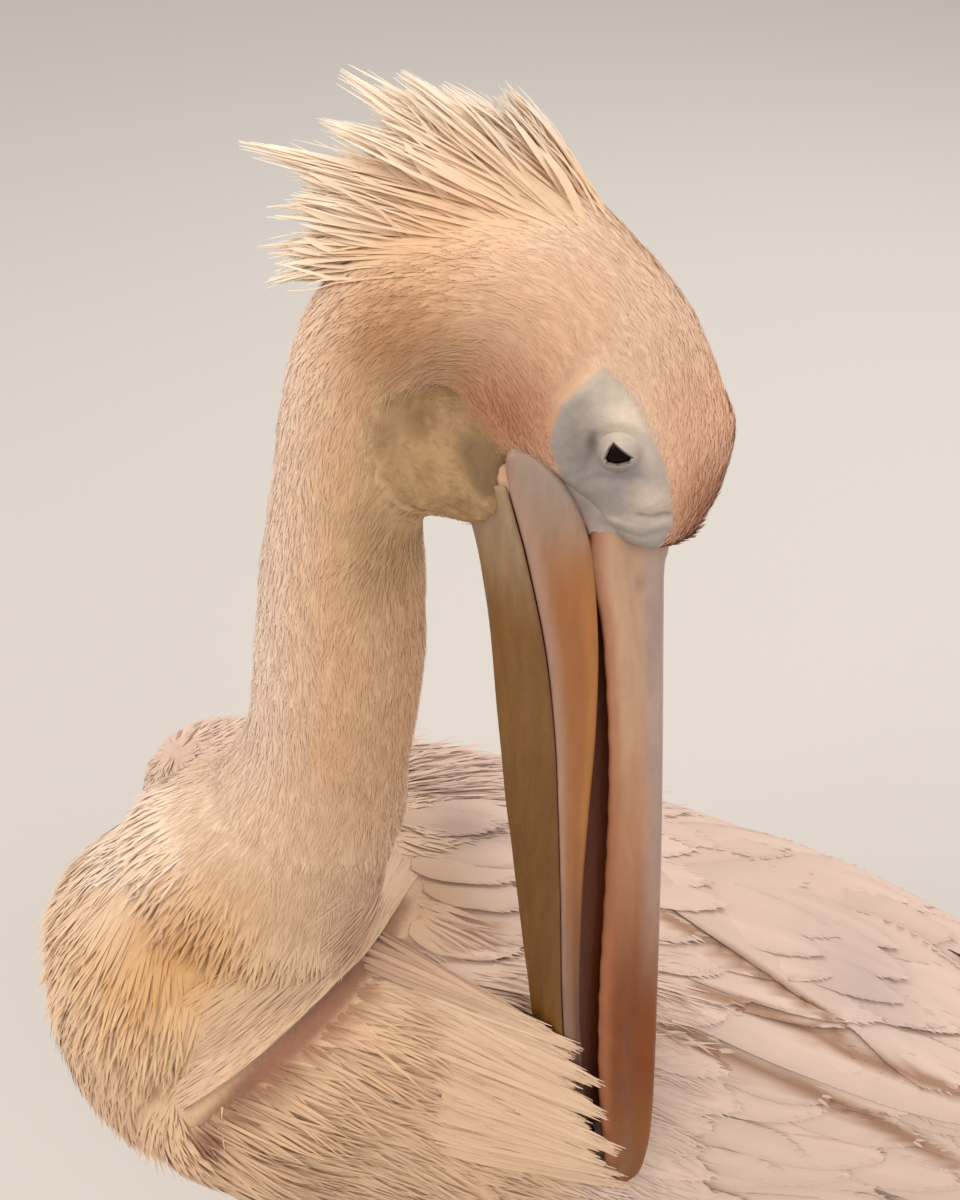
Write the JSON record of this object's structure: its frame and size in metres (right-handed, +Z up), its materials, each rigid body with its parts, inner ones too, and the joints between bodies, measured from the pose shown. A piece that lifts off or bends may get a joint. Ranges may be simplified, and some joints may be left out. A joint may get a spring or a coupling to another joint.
{
  "type": "great white pelican preening",
  "caption": "Standing great white pelican with its neck turned back over its shoulder and its long bill resting in the feathers of its folded wing.",
  "frame": {"origin": "on the floor, under the centre of the bird's bounding box", "axes": "+Z up. The breast faces -Y and the tail points to +Y. +X is the bird's left, the side the bill rests on."},
  "size_m": [0.3028, 0.7953, 0.9323],
  "materials": {
    "plumage": "matte feathers, white stained cream and peach",
    "crest_plumes": "matte loose plumes",
    "wing_feathers": "matte overlapping vanes, darker at the wing ends",
    "bill_horn": "satin horn, pinkish tan darkening to the tip",
    "lower_bill": "satin horn with a grey lilac outer edge",
    "pouch_skin": "wrinkled bare skin",
    "eye": "wet gloss",
    "leg_skin": "scaly bare skin",
    "claw_horn": "satin horn"
  },
  "bodies": {
    "root": {"neck_lower": "plumage", "neck_middle": "plumage", "neck_upper": "plumage", "head": "plumage", "eye_right": "eye", "eye_left": "eye", "bill_upper": "bill_horn", "bill_lower": "lower_bill", "throat_pouch": "pouch_skin", "gular_pouch": "pouch_skin", "crest": "crest_plumes", "trunk": "plumage", "wing_left": "wing_feathers", "wing_right": "wing_feathers", "tail": "wing_feathers", "thigh_left": "plumage", "thigh_right": "plumage", "shank_left": "leg_skin", "shank_right": "leg_skin", "foot_left": "leg_skin", "foot_right": "leg_skin", "claw_left_1": "claw_horn", "claw_left_2": "claw_horn", "claw_left_3": "claw_horn", "claw_left_4": "claw_horn", "claw_right_1": "claw_horn", "claw_right_2": "claw_horn", "claw_right_3": "claw_horn", "claw_right_4": "claw_horn"}
  },
  "joints": []
}
